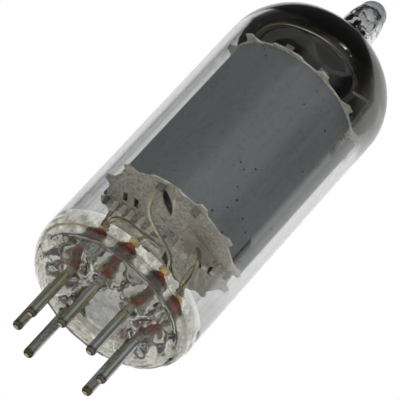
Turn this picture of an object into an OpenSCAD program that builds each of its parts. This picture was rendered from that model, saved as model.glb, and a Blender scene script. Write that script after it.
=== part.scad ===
// Heptode receiving tube with a seven-pin glass button base.
// Origin: centre of the plane that the pin tips stand on. +Z runs up the tube to the exhaust tip.
// The gap in the ring of pins faces +Y. Pins are numbered clockwise as seen from below.

/* [Bulb] */
// Outside diameter of the straight part of the bulb
bulb_od = 17.65; // [16.5:0.05:19.05]
// Thickness of the bulb wall
wall = 0.75; // [0.6:0.05:0.95]
// Height of the straight part of the bulb above the base plane
straight_up = 33.4; // [32:0.1:38]
// Outside radius of the shoulder that turns into the dome
shoulder_r = 6.8; // [5.5:0.1:7.4]
// Outside radius of the rounded heel at the base
heel_r = 3.3; // [2.4:0.1:3.6]
// Height of the exhaust tip above the crown of the dome
tip_up = 6.7; // [4:0.1:8]
// Radius of the round end of the exhaust tip
tip_end_r = 1.5; // [1.1:0.05:1.8]
// Radius of the exhaust tip where it leaves the crown
tip_root_r = 2; // [1.8:0.05:2.4]
// Radius of the exhaust tip at the middle of its length
tip_mid_r = 1.93; // [1.6:0.01:2.1]
// Radius of the flare between the crown and the exhaust tip
tip_flare_r = 1; // [0.6:0.1:1.2]
// Radius of the pinched cavity inside the exhaust tip
tip_bore_r = 0.85; // [0.5:0.05:1]
// Distance of the exhaust tip from the axis
tip_off = 0.33; // [0:0.01:0.6]
// Direction in which the exhaust tip is off the axis
tip_off_turn = 20; // [0:5:355]

/* [Button stem] */
// Thickness of the pressed glass button
stem_t = 2.3; // [2:0.1:3.4]
// Radius of the seal between the button and the bulb
seal_r = 7; // [6.6:0.05:7.2]
// Height of the glass mound around each lead inside the tube
mound_up = 2.2; // [1.2:0.1:2.4]
// Radius of a glass mound at its foot
mound_foot_r = 1.7; // [1.2:0.05:1.8]
// Radius of a glass mound at its top
mound_top_r = 0.75; // [0.6:0.05:0.9]
// Radius of the shallow dish in the middle of the underside
dish_r = 3.3; // [2.5:0.1:3.5]
// Depth of the shallow dish
dish_t = 0.35; // [0.2:0.05:0.6]
// Height of the glass collar around each pin
collar_up = 0.45; // [0.2:0.05:0.6]
// Radius of a glass collar at its foot
collar_foot_r = 1.05; // [0.9:0.05:1.2]

/* [Pins and leads] */
// Number of places in the ring of pins, one of them empty
pin_places = 8; // [8]
// Diameter of the circle through the pins
pin_circle = 9.525; // [9.5:0.005:9.55]
// Diameter of a pin
pin_d = 1.016; // [1:0.001:1.03]
// Length of a pin below the base plane
pin_out = 6; // [5.5:0.1:7]
// Depth of a pin inside its glass collar
pin_in = 0.15; // [0.1:0.01:0.15]
// Rounding of a pin's tip
pin_round = 0.3; // [0.1:0.05:0.4]
// Radius of a copper-sheathed seal wire
seal_wire_r = 0.34; // [0.28:0.02:0.36]
// Length of seal wire that shows above its glass mound
seal_wire_up = 0.7; // [0.4:0.1:1]
// Radius of an inner lead
lead_r = 0.22; // [0.15:0.01:0.25]

/* [Micas] */
// Height of the lower mica's underside above the base plane
cage_up = 11; // [10:0.1:12]
// Thickness of a mica
mica_t = 0.3; // [0.2:0.05:0.4]
// Gap between a mica's teeth and the inside of the bulb
mica_gap = 0.03; // [0.01:0.01:0.1]
// Height of a tooth above the rim of the mica
tooth_h = 0.12; // [0.08:0.01:0.2]
// Radius of the bites on both sides of a tooth
bite_r = 1.8; // [1.4:0.1:2.2]
// Depth of the bites into the rim of the mica
bite_t = 0.43; // [0.2:0.01:0.5]
// Turn of the teeth about the axis
teeth_turn = -6; // [-10:1:10]
// Extra radius of a punched hole over what passes through it
punch_gap = 0.02; // [0.01:0.01:0.06]
// Width of a slot that lengthens the leakage path
leak_w = 0.55; // [0.4:0.05:0.7]
// Length of the leaf-shaped window between the grids and the anode
leaf_l = 3.8; // [3:0.1:4]

/* [Anode] */
// Height of the anode between the micas
anode_h = 19.7; // [18:0.1:22]
// Distance from the rim of the mica to the outside of the anode
anode_in = 0.82; // [0.7:0.02:1]
// Thickness of the anode sheet
sheet_t = 0.18; // [0.12:0.02:0.24]
// Width of the flanges that join the two anode shells
flange_w = 0.65; // [0.5:0.05:0.7]
// Height of the windows at both ends of the anode
window_h = 3.3; // [2:0.1:4]
// Angle from the seam to the far edge of a window
window_turn = 15; // [10:1:20]
// Width of a fixing tab
tab_w = 0.8; // [0.6:0.1:1.2]
// Length of a fixing tab beyond its mica
tab_out = 0.7; // [0.5:0.1:1]

/* [Grids and cathode] */
// Radius of the cathode sleeve
cathode_r = 0.6; // [0.5:0.02:0.7]
// Thickness of the cathode sleeve
cathode_t = 0.1; // [0.06:0.02:0.14]
// Radius of a coated heater strand
heater_r = 0.13; // [0.1:0.01:0.15]
// Radius of a grid's side rods
rod_r = 0.3; // [0.25:0.01:0.34]
// Length of a side rod beyond each mica
rod_out = 0.95; // [0.9:0.05:1.5]
// Radius of the grid wire
wire_r = 0.06; // [0.04:0.01:0.07]
// Gap between the grid wire and the side rods it is swaged to
swage_gap = 0.01; // [0.005:0.005:0.02]
// Bare length of rod between a mica and the first turn
bare_end = 0.9; // [0.6:0.1:1.5]

/* [Getter] */
// Radius of the getter ring
getter_r = 5.45; // [4.5:0.05:5.6]
// Height of the middle of the getter ring above the upper mica
getter_up = 4.3; // [3.5:0.1:4.6]
// Tilt of the getter ring, up towards its post
getter_tilt = 10.5; // [0:0.5:12]
// Width of the getter channel
getter_w = 0.42; // [0.3:0.02:0.6]
// Thickness of the getter channel's sheet
getter_t = 0.1; // [0.08:0.01:0.12]
// Sideways offset of the getter ring from the axis
getter_off = 1.25; // [0.6:0.05:1.4]
// Radius of the post that carries the getter
post_r = 0.15; // [0.12:0.01:0.2]
// Direction of the post from the side rod it stands beside
post_turn = 70; // [0:5:90]

/* [Hidden] */
$fn = 48;
eps = 0.01;

// Heights above the plane of the pin tips; the straight part reaches past the upper mica
base_z = pin_out;
lower_z = base_z + cage_up;
anode_z = lower_z + mica_t;
upper_z = anode_z + anode_h;
mica_cover = 2;
straight_z = max(base_z + straight_up, upper_z + mica_t + mica_cover);
crown_z = straight_z + shoulder_r;
tip_z = crown_z + tip_up;
stem_top_z = base_z + stem_t;
mound_z = stem_top_z + mound_up;
pin_top_z = base_z - collar_up + pin_in;
seal_wire_z = mound_z + seal_wire_up;
rod_low_z = lower_z - rod_out;
rod_top_z = upper_z + mica_t + rod_out;

// Radii that follow from the bulb
bulb_r = bulb_od / 2;
inner_r = bulb_r - wall;
fillet_r = inner_r - seal_r;
tooth_r = inner_r - mica_gap;
mica_r = tooth_r - tooth_h;
anode_r = mica_r - anode_in;
anode_inner_r = anode_r - sheet_t;
pin_r = pin_d / 2;

// Pins: the empty place faces +Y
pin_step = 360 / pin_places;
pin_1_turn = 90 + pin_step;
function pin_turn(k) = pin_1_turn + pin_step * (k - 1);
function pin_at(k, z = 0) = [pin_circle / 2 * cos(pin_turn(k)), pin_circle / 2 * sin(pin_turn(k)), z];

// Grids: shares of the room between the cathode and the anode, along the rods and across them
rod_share = [0.15, 0.34, 0.535, 0.69, 0.835];
side_share = [0.06, 0.21, 0.39, 0.56, 0.73];
grid_turns = [24, 15, 11, 13, 8];
room = anode_inner_r - cathode_r;
function rod_x(k) = cathode_r + room * rod_share[k - 1];
function side_y(k) = cathode_r + room * side_share[k - 1];
turn_points = 14;
wire_sides = 3;
lead_sides = 10;
lead_rings = 14;

// Mica teeth, counted from the middle of the front
tooth_turns = [32, 61, 90];
tooth_bite_turn = 12.5;
anode_tab_turns = [262, 294];
leaf_turn = 265;
leaf_lean = -9.5;

// A revolved body's half section: radius r from z0 to z1 with rounded lower and upper corners
module half_section(r, z0, z1, low, high) {
    translate([0, z0 + low]) square([r, z1 - z0 - low - high]);
    if (low > 0) {
        translate([0, z0]) square([r - low, low + eps]);
        intersection() {
            translate([r - low, z0 + low]) circle(low);
            translate([r - low, z0]) square([low, low]);
        }
    }
    if (high > 0) {
        translate([0, z1 - high - eps]) square([r - high, high + eps]);
        intersection() {
            translate([r - high, z1 - high]) circle(high);
            translate([r - high, z1 - high]) square([high, high]);
        }
    }
}

// Outside of the glass without the exhaust tip
module glass_section() {
    half_section(bulb_r, base_z, crown_z, heel_r, shoulder_r);
}

// A barrel-shaped bar with a round end, as a half section
module tip_section(foot_r, mid_r, end_r, z0, z1) {
    polygon([[0, z0], [foot_r, z0], [mid_r, (z0 + z1 - end_r) / 2], [end_r, z1 - end_r], [0, z1 - end_r]]);
    intersection() {
        translate([0, z1 - end_r]) circle(end_r);
        translate([0, z1 - end_r - eps]) square([end_r, end_r + eps]);
    }
}

// Hollow curve that leads from the crown into the tip, sunk a little so that it meets the dome
module flare_section() {
    sunk = 0.16;
    foot_z = crown_z - wall / 2;
    difference() {
        translate([0, foot_z]) square([tip_root_r + tip_flare_r, crown_z + tip_flare_r - sunk - foot_z]);
        translate([tip_root_r + tip_flare_r, crown_z + tip_flare_r - sunk]) circle(tip_flare_r);
    }
}

module bulb() {
    tip_bore_top = tip_z - tip_end_r;
    color("whitesmoke", 0.35)
        difference() {
            union() {
                rotate_extrude() glass_section();
                rotate(tip_off_turn) translate([tip_off, 0, 0])
                    rotate_extrude() {
                        tip_section(tip_root_r, tip_mid_r, tip_end_r, crown_z - wall / 2, tip_z);
                        flare_section();
                    }
            }
            rotate_extrude() {
                half_section(inner_r, stem_top_z, crown_z - wall, fillet_r, shoulder_r - wall);
                translate([0, base_z - eps]) square([seal_r, stem_t + eps]);
            }
            rotate(tip_off_turn) translate([tip_off, 0, 0])
                rotate_extrude()
                    tip_section(tip_bore_r * 1.3, tip_bore_r * 1.1, tip_bore_r, crown_z - wall - eps, tip_bore_top);
        }
}

module button_stem() {
    color("lightgray", 0.5)
        difference() {
            union() {
                rotate_extrude()
                    intersection() {
                        glass_section();
                        translate([0, base_z]) square([seal_r, stem_t]);
                    }
                for (k = [1 : pin_places - 1]) {
                    translate(pin_at(k, stem_top_z - eps))
                        cylinder(h = mound_up + eps, r1 = mound_foot_r, r2 = mound_top_r);
                    translate(pin_at(k, base_z - collar_up))
                        cylinder(h = collar_up + eps, r1 = pin_r + 0.08, r2 = collar_foot_r);
                }
            }
            translate([0, 0, base_z - eps]) cylinder(h = dish_t + eps, r = dish_r);
            for (k = [1 : pin_places - 1]) {
                translate(pin_at(k, pin_top_z - 1)) cylinder(h = 1, r = pin_r);
                translate(pin_at(k, pin_top_z - eps))
                    cylinder(h = mound_z - pin_top_z + 1, r = seal_wire_r);
            }
        }
}

module pin(k) {
    color("silver")
        translate(pin_at(k))
            rotate_extrude() half_section(pin_r, 0, pin_top_z, pin_round, 0);
}

module seal_wire(k) {
    color("firebrick")
        translate(pin_at(k, pin_top_z))
            cylinder(h = seal_wire_z - pin_top_z, r = seal_wire_r);
}

// Round wire along a cubic Bezier curve: start, two handles and end
function bezier(p, t) = pow(1 - t, 3) * p[0] + 3 * t * pow(1 - t, 2) * p[1]
    + 3 * t * t * (1 - t) * p[2] + pow(t, 3) * p[3];
function heading(p, t) = (p[1] - p[0]) * pow(1 - t, 2) + 2 * t * (1 - t) * (p[2] - p[1])
    + t * t * (p[3] - p[2]);
function unit(v) = v / norm(v);

// Closed tube through rings of points: the rings and the two end caps
module skin(rings) {
    count = len(rings);
    sides = len(rings[0]);
    walls = [for (i = [0 : count - 2], j = [0 : sides - 1]) let (n = (j + 1) % sides)
        [i * sides + j, i * sides + n, (i + 1) * sides + n, (i + 1) * sides + j]];
    first = [for (j = [sides - 1 : -1 : 0]) j];
    last = [for (j = [0 : sides - 1]) (count - 1) * sides + j];
    polyhedron([for (ring = rings) for (point = ring) point], concat([first, last], walls));
}

// The first ring lies flat, on the end of the seal wire
module bent_wire(p, r) {
    side = unit(cross(p[1] - p[0], p[3] - p[0] + [0.01, 0.02, 0]));
    skin([for (i = [0 : lead_rings])
        let (t = i / lead_rings, ahead = i == 0 ? [0, 0, 1] : unit(heading(p, t)),
             u = unit(side - (side * ahead) * ahead), v = cross(ahead, u))
        [for (j = [0 : lead_sides - 1]) let (a = -360 * j / lead_sides)
            bezier(p, t) + r * (cos(a) * u + sin(a) * v)]]);
}

// Where each lead ends, and the two handles that bend it
lead_end_z = lower_z - 0.6;
heater_end_z = lower_z - 1.6;
beside_rod = rod_r + lead_r + swage_gap;
heater_x = 0.3;
lead_tab_r = anode_r - sheet_t - lead_r - swage_gap;
function rise(p, up) = p + [0, 0, up];
function lead_route(k) =
    let (from = pin_at(k, seal_wire_z))
    k == 1 ? [from, rise(from, 2), [-rod_x(1), beside_rod, lead_end_z - 2],
              [-rod_x(1), beside_rod, lead_end_z]] :
    k == 2 ? [from, rise(from, 2), [-rod_x(5), beside_rod, lead_end_z - 2],
              [-rod_x(5), beside_rod, lead_end_z]] :
    k == 3 ? [from, from + [-0.2, -3.2, 2], [-1.2, -3.4, heater_end_z - 2.2],
              [-heater_x - 0.2, -0.31, heater_end_z]] :
    k == 4 ? [from, rise(from, 2.4), [0.9, -2.4, heater_end_z - 2],
              [heater_x + 0.2, -0.31, heater_end_z]] :
    k == 5 ? [from, from + [1.6, -1.8, 2.2], [-3.4, -3, lead_end_z - 2],
              [lead_tab_r * cos(anode_tab_turns[0]), lead_tab_r * sin(anode_tab_turns[0]),
               lower_z - 0.25]] :
    k == 6 ? [from, rise(from, 1.8), [6.2, -5, lead_end_z - 2.6],
              [strap_at[0] + 0.25, strap_at[1], strap_z - lead_r]] :
             [from, rise(from, 2), [rod_x(3), beside_rod, lead_end_z - 2],
              [rod_x(3), beside_rod, lead_end_z]];

module lead(k) {
    color("gray") bent_wire(lead_route(k), lead_r);
}

// Outline of a mica: a disc with blunt teeth between wide bites
module mica_outline() {
    difference() {
        union() {
            circle(mica_r);
            for (side = [0, 180], turn = tooth_turns, hand = [-1, 1])
                rotate(side + teeth_turn - 90 + hand * turn)
                    polygon([[mica_r - 0.5, -0.8], [mica_r - 0.05, -0.6], [tooth_r, -0.4],
                             [tooth_r, 0.4], [mica_r - 0.05, 0.6], [mica_r - 0.5, 0.8]]);
        }
        for (side = [0, 180], turn = tooth_turns, hand = [-1, 1], bite = [-1, 1])
            rotate(side + teeth_turn - 90 + hand * turn + bite * tooth_bite_turn)
                translate([mica_r - bite_t + bite_r, 0]) circle(bite_r);
    }
}

// Holes for the rods, the cathode and the tabs, and the leakage slots
module mica_holes() {
    circle(cathode_r + punch_gap);
    for (side = [-1, 1]) {
        for (k = [1 : 5]) translate([side * rod_x(k), 0]) circle(rod_r + punch_gap);
        translate([side * (anode_r - sheet_t / 2), 0])
            square([tab_w / 2 + 2 * punch_gap, 2 * (sheet_t + punch_gap)], center = true);
        for (x = [rod_x(3) - 0.2, rod_x(4) + 0.1])
            translate([side * x, side * 1.5]) square([leak_w, 1.5], center = true);
    }
    for (flip = [0, 180], turn = anode_tab_turns)
        rotate(turn + flip) translate([anode_r - sheet_t / 2, 0])
            square([sheet_t + 2 * punch_gap, tab_w + 2 * punch_gap], center = true);
    for (flip = [0, 180])
        rotate(leaf_turn + flip) translate([mica_r * 0.59, 0]) rotate(leaf_lean) leaf(leaf_l, leak_w);
}

// Leaf between two arcs, half as wide as w is from its middle line
module leaf(l, w) {
    r = (l * l / 4 + w * w) / (2 * w);
    intersection() {
        translate([0, r - w]) circle(r);
        translate([0, w - r]) circle(r);
    }
}

module mica(z) {
    color("tan", 0.8)
        translate([0, 0, z])
            linear_extrude(height = mica_t)
                difference() {
                    mica_outline();
                    mica_holes();
                }
}

// Half of the anode on the -Y side, with its flanges, windows and fixing tabs
module anode_shell() {
    seam_y = anode_r * sin(window_turn);
    difference() {
        translate([0, 0, anode_z])
            rotate_extrude(angle = 180, start = 180)
                translate([anode_inner_r, 0]) square([sheet_t, anode_h]);
        for (side = [-1, 1], z = [anode_z - eps, upper_z - window_h])
            translate([side * anode_r - 1, -seam_y, z])
                cube([2, seam_y - sheet_t, window_h + eps]);
    }
    for (side = [-1, 1]) {
        translate([side > 0 ? anode_r - sheet_t : -anode_r - flange_w, -sheet_t, anode_z])
            cube([flange_w + sheet_t, sheet_t, anode_h]);
        for (z = [anode_z - mica_t - tab_out, upper_z - eps])
            translate([side * (anode_r - sheet_t / 2) - tab_w / 4, -sheet_t, z])
                cube([tab_w / 2, sheet_t, mica_t + tab_out + eps]);
    }
    for (turn = anode_tab_turns, z = [anode_z - mica_t - tab_out, upper_z - eps])
        rotate(turn)
            translate([anode_inner_r, -tab_w / 2, z])
                cube([sheet_t * 0.9, tab_w, mica_t + tab_out + eps]);
}

module anode_front() {
    color("dimgray") anode_shell();
}

module anode_rear() {
    color("dimgray") rotate(180) anode_shell();
}

module cathode_sleeve() {
    color("gainsboro")
        difference() {
            translate([0, 0, lower_z - 0.4]) cylinder(h = upper_z - lower_z + mica_t + 0.8, r = cathode_r);
            translate([0, 0, lower_z - 1])
                cylinder(h = upper_z - lower_z + 3, r = cathode_r - cathode_t);
        }
}

// Two strands folded over at the top, with legs that reach the heater leads
module heater() {
    leg_z = heater_end_z - 0.5;
    fold_z = upper_z - 0.6;
    color("white") {
        for (side = [-1, 1]) translate([side * heater_x, 0, leg_z]) cylinder(h = fold_z - leg_z, r = heater_r);
        translate([0, 0, fold_z])
            rotate([90, 0, 0])
                rotate_extrude(angle = 180) translate([heater_x, 0]) circle(heater_r);
    }
}

// Strip standing on edge along a line of points
module edge_strip(points, t, h) {
    linear_extrude(height = h)
        for (i = [0 : len(points) - 2]) {
            run = points[i + 1] - points[i];
            translate(points[i]) rotate(atan2(run[1], run[0])) {
                translate([0, -t / 2]) square([norm(run), t]);
                translate([norm(run), 0]) circle(t / 2);
            }
        }
}

// Strip that joins the cathode to the outermost grid and its lead
strip_t = 0.12;
module cathode_strap() {
    detour_y = beside_rod + lead_r + 0.3;
    color("darkgray")
        difference() {
            translate([0, 0, lower_z - 0.35])
                edge_strip([[0, cathode_r + strip_t / 3], [-0.9, detour_y],
                            [-rod_x(5) + 0.8, detour_y], [-rod_x(5) + 0.1, beside_rod + lead_r]],
                           strip_t, 0.35);
            translate([0, 0, lower_z - 1]) cylinder(h = 2, r = cathode_r);
        }
}

// Slanted plate with two prongs that join the rods of the second and fourth grids on one side
strap_z = lower_z - 0.75;
strap_t = 0.15;
strap_at = [3.75, -2.28];
strap_size = [3.8, 1.7];
strap_turn = 32;
module screen_strap() {
    prong_w = 2 * rod_r;
    color("darkgray")
        difference() {
            translate([0, 0, strap_z])
                linear_extrude(height = strap_t) {
                    translate(strap_at) rotate(strap_turn) square(strap_size, center = true);
                    for (k = [2, 4]) {
                        reach = -strap_at[1] - (rod_x(k) - strap_at[0]) * tan(strap_turn);
                        translate([rod_x(k) - prong_w / 2, -reach]) square([prong_w, reach]);
                    }
                }
            for (k = [2, 4]) translate([rod_x(k), 0, strap_z - 1]) cylinder(h = 2, r = rod_r);
        }
}

// Sheets clipped to the rods of the second grid, outside its winding
module collector_plates() {
    plate_x = rod_x(2) + rod_r + 2 * wire_r + 0.05;
    plate_y = 1.1;
    lug_h = 0.4;
    color("gray")
        for (side = [0, 180]) rotate(side)
            difference() {
                union() {
                    translate([plate_x, -plate_y, anode_z + 0.2]) cube([strip_t, 2 * plate_y, anode_h - 0.4]);
                    for (z = [anode_z + 0.2, upper_z - 0.2 - lug_h])
                        translate([rod_x(2), -rod_r / 2, z]) cube([plate_x - rod_x(2) + eps, rod_r, lug_h]);
                }
                translate([rod_x(2), 0, anode_z]) cylinder(h = anode_h, r = rod_r);
            }
}

module grid_rods(k) {
    color("peru")
        for (side = [-1, 1])
            translate([side * rod_x(k), 0, rod_low_z]) cylinder(h = rod_top_z - rod_low_z, r = rod_r);
}

// One wire wound as an oval helix around the outside of a grid's two rods
module grid_winding(k) {
    a = rod_x(k) + rod_r + wire_r + swage_gap;
    b = side_y(k);
    steps = grid_turns[k - 1] * turn_points;
    z0 = anode_z + bare_end;
    climb = (anode_h - 2 * bare_end) / steps;
    color("goldenrod")
        skin([for (i = [0 : steps])
            let (turn = 360 * i / turn_points, out = unit([b * cos(turn), a * sin(turn), 0]))
            [for (j = [0 : wire_sides - 1]) let (s = -360 * j / wire_sides)
                [a * cos(turn), b * sin(turn), z0 + climb * i]
                    + wire_r * (cos(s) * out + sin(s) * [0, 0, -1])]]);
}

module getter_ring() {
    color("darkslategray")
        translate([-getter_off, 0, upper_z + mica_t + getter_up])
            rotate([0, -getter_tilt, 0])
                rotate_extrude()
                    translate([getter_r - getter_w / 2, 0])
                        difference() {
                            square([getter_w, getter_w * 0.8]);
                            translate([getter_t, getter_t]) square([getter_w - 2 * getter_t, getter_w]);
                        }
}

// Post beside an outer grid rod, bent over at the top to reach under the high side of the getter ring
module getter_post() {
    foot_z = upper_z + mica_t;
    ring_x = getter_r * cos(getter_tilt) - getter_off;
    top_z = foot_z + getter_up + getter_r * sin(getter_tilt) - post_r;
    from_rod = rod_r + post_r + swage_gap;
    post_at = [rod_x(5) + from_rod * cos(post_turn), from_rod * sin(post_turn), 0];
    color("silver")
        translate(post_at) {
            translate([0, 0, foot_z]) cylinder(h = top_z - foot_z, r = post_r);
            translate([0, 0, top_z]) sphere(post_r);
            translate([ring_x - post_at[0], 0, top_z])
                rotate([0, 90, 0]) cylinder(h = post_at[0] - ring_x, r = post_r);
        }
}

bulb();
button_stem();
for (k = [1 : 7]) {
    pin(k);
    seal_wire(k);
    lead(k);
}
mica(lower_z);  // mica_lower
mica(upper_z);  // mica_upper
anode_front();
anode_rear();
cathode_sleeve();
heater();
cathode_strap();
screen_strap();
collector_plates();
for (k = [1 : 5]) {
    grid_rods(k);
    grid_winding(k);
}
getter_ring();
getter_post();
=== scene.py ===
import bpy
import math
from mathutils import Matrix, Vector, noise


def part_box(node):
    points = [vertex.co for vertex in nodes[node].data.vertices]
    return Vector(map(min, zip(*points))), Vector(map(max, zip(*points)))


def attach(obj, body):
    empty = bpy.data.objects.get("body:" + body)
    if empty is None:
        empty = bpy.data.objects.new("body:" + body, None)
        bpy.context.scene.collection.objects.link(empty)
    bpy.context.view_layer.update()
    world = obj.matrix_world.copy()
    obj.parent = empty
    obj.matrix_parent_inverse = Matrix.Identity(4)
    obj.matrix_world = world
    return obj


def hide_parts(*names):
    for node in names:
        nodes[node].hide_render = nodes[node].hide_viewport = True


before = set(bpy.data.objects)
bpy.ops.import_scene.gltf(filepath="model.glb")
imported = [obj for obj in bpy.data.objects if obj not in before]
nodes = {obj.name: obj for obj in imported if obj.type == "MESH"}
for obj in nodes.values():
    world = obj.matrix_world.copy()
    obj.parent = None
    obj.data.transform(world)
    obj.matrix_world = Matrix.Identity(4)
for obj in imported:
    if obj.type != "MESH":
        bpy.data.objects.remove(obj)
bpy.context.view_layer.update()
mm = 0.001
mergeGap = 2e-6  # metres, points closer than this become one
print("frame loaded:", len(nodes), "nodes")


# helpers for modelling
def deselectAll():
    if bpy.context.object and bpy.context.object.mode != "OBJECT":
        bpy.ops.object.mode_set(mode="OBJECT")
    bpy.ops.object.select_all(action="DESELECT")


def selectOnly(piece):
    deselectAll()
    piece.select_set(True)
    bpy.context.view_layer.objects.active = piece


def editMode(selectMode="VERT"):
    bpy.ops.object.mode_set(mode="EDIT")
    bpy.ops.mesh.select_mode(type=selectMode)
    bpy.ops.mesh.select_all(action="SELECT")


def finishPiece(piece, material, replaced=()):
    # place baked into the mesh, then tied to the frame
    selectOnly(piece)
    bpy.ops.object.transform_apply(location=True, rotation=True, scale=True)
    piece.data.materials.clear()
    piece.data.materials.append(material)
    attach(piece, "root")
    if replaced:
        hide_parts(*replaced)


def arc(centre, radius, start, end, count):
    # points of an arc in the half plane, angles in degrees from the +r direction
    turns = [math.radians(start + (end - start) * i / count) for i in range(count + 1)]
    return [(centre[0] + radius * math.cos(turn), centre[1] + radius * math.sin(turn)) for turn in turns]


def roundEnded(line, ball):
    # a line closed on the axis by a quarter of a circle: its height, its radius and its number of steps
    height, radius, count = ball
    end = arc((0, height), radius, 0, 90, count)
    return line + end[:-1] + [(0, end[-1][1])]


def spunLine(name, line, steps):
    # one vertex is drawn out point by point along the line, and the line is spun about the tube's axis
    deselectAll()
    bpy.ops.mesh.primitive_plane_add(size=mm)
    piece = bpy.context.object
    piece.name = name
    editMode()
    bpy.ops.mesh.merge(type="CENTER")
    bpy.ops.transform.translate(value=(line[0][0] * mm, 0, line[0][1] * mm))
    for here, there in zip(line, line[1:]):
        step = ((there[0] - here[0]) * mm, 0, (there[1] - here[1]) * mm)
        bpy.ops.mesh.extrude_vertices_move(TRANSFORM_OT_translate={"value": step})
    bpy.ops.mesh.select_all(action="SELECT")
    bpy.ops.mesh.spin(steps=steps, angle=math.tau, center=(0, 0, 0), axis=(0, 0, 1))
    bpy.ops.mesh.select_all(action="SELECT")
    bpy.ops.mesh.remove_doubles(threshold=mergeGap)
    bpy.ops.mesh.normals_make_consistent(inside=False)
    bpy.ops.object.mode_set(mode="OBJECT")
    bpy.ops.object.shade_smooth()
    return piece


def smoothStep(low, high, x):
    t = min(max((x - low) / (high - low), 0), 1)
    return t * t * (3 - 2 * t)


def pointing(turn, rise):
    # unit vector away from the object: degrees round from the front, and degrees up from level
    turn, rise = math.radians(turn), math.radians(rise)
    return Vector((math.sin(turn) * math.cos(rise), -math.cos(turn) * math.cos(rise), math.sin(rise)))


# helpers for materials
wholeSpeckle = (0.3, 0.7)  # nearly all the values that a noise takes
halfSpeckle = (0.35, 0.65)  # the span in which a noise turns one colour into another


class Wire:
    # a socket that takes part in sums: wire * 2 + 1 adds the Math nodes
    def __init__(self, finish, socket):
        self.finish = finish
        self.socket = socket

    def maths(self, operation, *values):
        return self.finish.node("Math", {"operation": operation}, dict(enumerate(values)))

    def __add__(self, other):
        return self.maths("ADD", self, other)

    def __sub__(self, other):
        return self.maths("SUBTRACT", self, other)

    def __rsub__(self, other):
        return self.maths("SUBTRACT", other, self)

    def __mul__(self, other):
        return self.maths("MULTIPLY", self, other)

    def __pow__(self, other):
        return self.maths("POWER", self, other)

    def __rpow__(self, other):
        return self.maths("POWER", other, self)

    def __gt__(self, other):
        return self.maths("GREATER_THAN", self, other)

    def __lt__(self, other):
        return self.maths("LESS_THAN", self, other)

    __radd__ = __add__
    __rmul__ = __mul__


class Finish:
    # the nodes of one material, or of the world when that is the owner
    def __init__(self, name, owner=None):
        self.material = owner or bpy.data.materials.new(name)
        self.material.use_nodes = True
        self.tree = self.material.node_tree
        self.tree.nodes.clear()
        self.output = self.tree.nodes.new("ShaderNodeOutputWorld" if owner else "ShaderNodeOutputMaterial")

    def node(self, kind, settings=(), inputs=(), out=0):
        # settings first, then the value or the link of each socket
        made = self.tree.nodes.new("ShaderNode" + kind)
        for name, value in dict(settings).items():
            setattr(made, name, value)
        for name, value in dict(inputs).items():
            socket = made.inputs[name]
            if isinstance(value, Wire):
                self.tree.links.new(value.socket, socket)
            elif socket.type == "RGBA":
                socket.default_value = (*value, 1)
            else:
                socket.default_value = value
        return Wire(self, made.outputs[out])

    def surface(self, wire, volume=None):
        self.tree.links.new(wire.socket, self.output.inputs["Surface"])
        if volume:
            self.tree.links.new(volume.socket, self.output.inputs["Volume"])
        return self.material

    def most(self, a, b):
        return self.node("Math", {"operation": "MAXIMUM"}, {0: a, 1: b})

    def dot(self, a, b):
        return self.node("VectorMath", {"operation": "DOT_PRODUCT"}, {0: a, 1: b}, out="Value")

    def place(self):
        return self.node("TexCoord", out="Object")

    def part(self, vector, axis):
        return self.node("SeparateXYZ", inputs={0: vector}, out=axis)

    def speckle(self, scale, detail, rough, stretch=(1, 1, 1)):
        where = self.node("Mapping", inputs={"Vector": self.place(), "Scale": stretch})
        return self.node("TexNoise", inputs={
            "Vector": where, "Scale": scale, "Detail": detail, "Roughness": rough})

    def spread(self, value, low, high, toLow=0.0, toHigh=1.0):
        # value from low..high brought to toLow..toHigh, held at the ends
        return self.node("MapRange", {"interpolation_type": "SMOOTHSTEP"}, {
            "Value": value, "From Min": low, "From Max": high, "To Min": toLow, "To Max": toHigh})

    def within(self, length, span, toLow=0.0, toHigh=1.0):
        # the same for a length on the object, with its span in mm
        return self.spread(length, span[0] * mm, span[1] * mm, toLow, toHigh)

    def varied(self, speckle, low, high):
        # a number that wanders between two with a noise
        return self.spread(speckle, *wholeSpeckle, low, high)

    def blend(self, share, a, b):
        # colour a where share is 0, colour b where it is 1
        return self.node("Mix", {"data_type": "RGBA"}, {"Factor": share, 6: a, 7: b}, out=2)

    def mottled(self, speckle, a, b):
        return self.blend(self.spread(speckle, *halfSpeckle), a, b)

    def pick(self, share, a, b):
        # the same for numbers
        return self.node("Mix", inputs={0: share, 2: a, 3: b})

    def bumped(self, height, strength, depth):
        return self.node("Bump", inputs={"Height": height, "Strength": strength, "Distance": depth * mm})


# the photograph looks up at the base from in front, with the tube's axis leaning across the picture
# target and distance in mm; aim is how far the picture's middle is from the target, in pixels
cameraSet = dict(target=(0, 0, 25), distance=363.611, turn=19.72, rise=-31.388, roll=42.46, sensor=36,
                 lens=344.545, clip=(0.01, 20), aim=(-14.636, -17.782), focal=3828.28)


def addCamera(s):
    back = pointing(s["turn"], s["rise"])
    roll = math.radians(s["roll"])
    right = (-back).cross(Vector((0, 0, 1))).normalized()
    up = right.cross(-back)
    rightRolled = right * math.cos(roll) + up * math.sin(roll)
    upRolled = up * math.cos(roll) - right * math.sin(roll)
    aimX, aimY = (pixels / s["focal"] for pixels in s["aim"])
    ahead = (-back + rightRolled * aimX + upRolled * aimY).normalized()
    side = ahead.cross(upRolled).normalized()
    above = side.cross(ahead)
    data = bpy.data.cameras.new("camera")
    data.sensor_width = s["sensor"]
    data.lens = s["lens"]
    data.clip_start, data.clip_end = s["clip"]
    camera = bpy.data.objects.new("camera", data)
    bpy.context.scene.collection.objects.link(camera)
    camera.matrix_world = Matrix((side, above, -ahead)).transposed().to_4x4()
    camera.location = (Vector(s["target"]) + back * s["distance"]) * mm
    bpy.context.scene.camera = camera
    return side, above, -ahead


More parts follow.
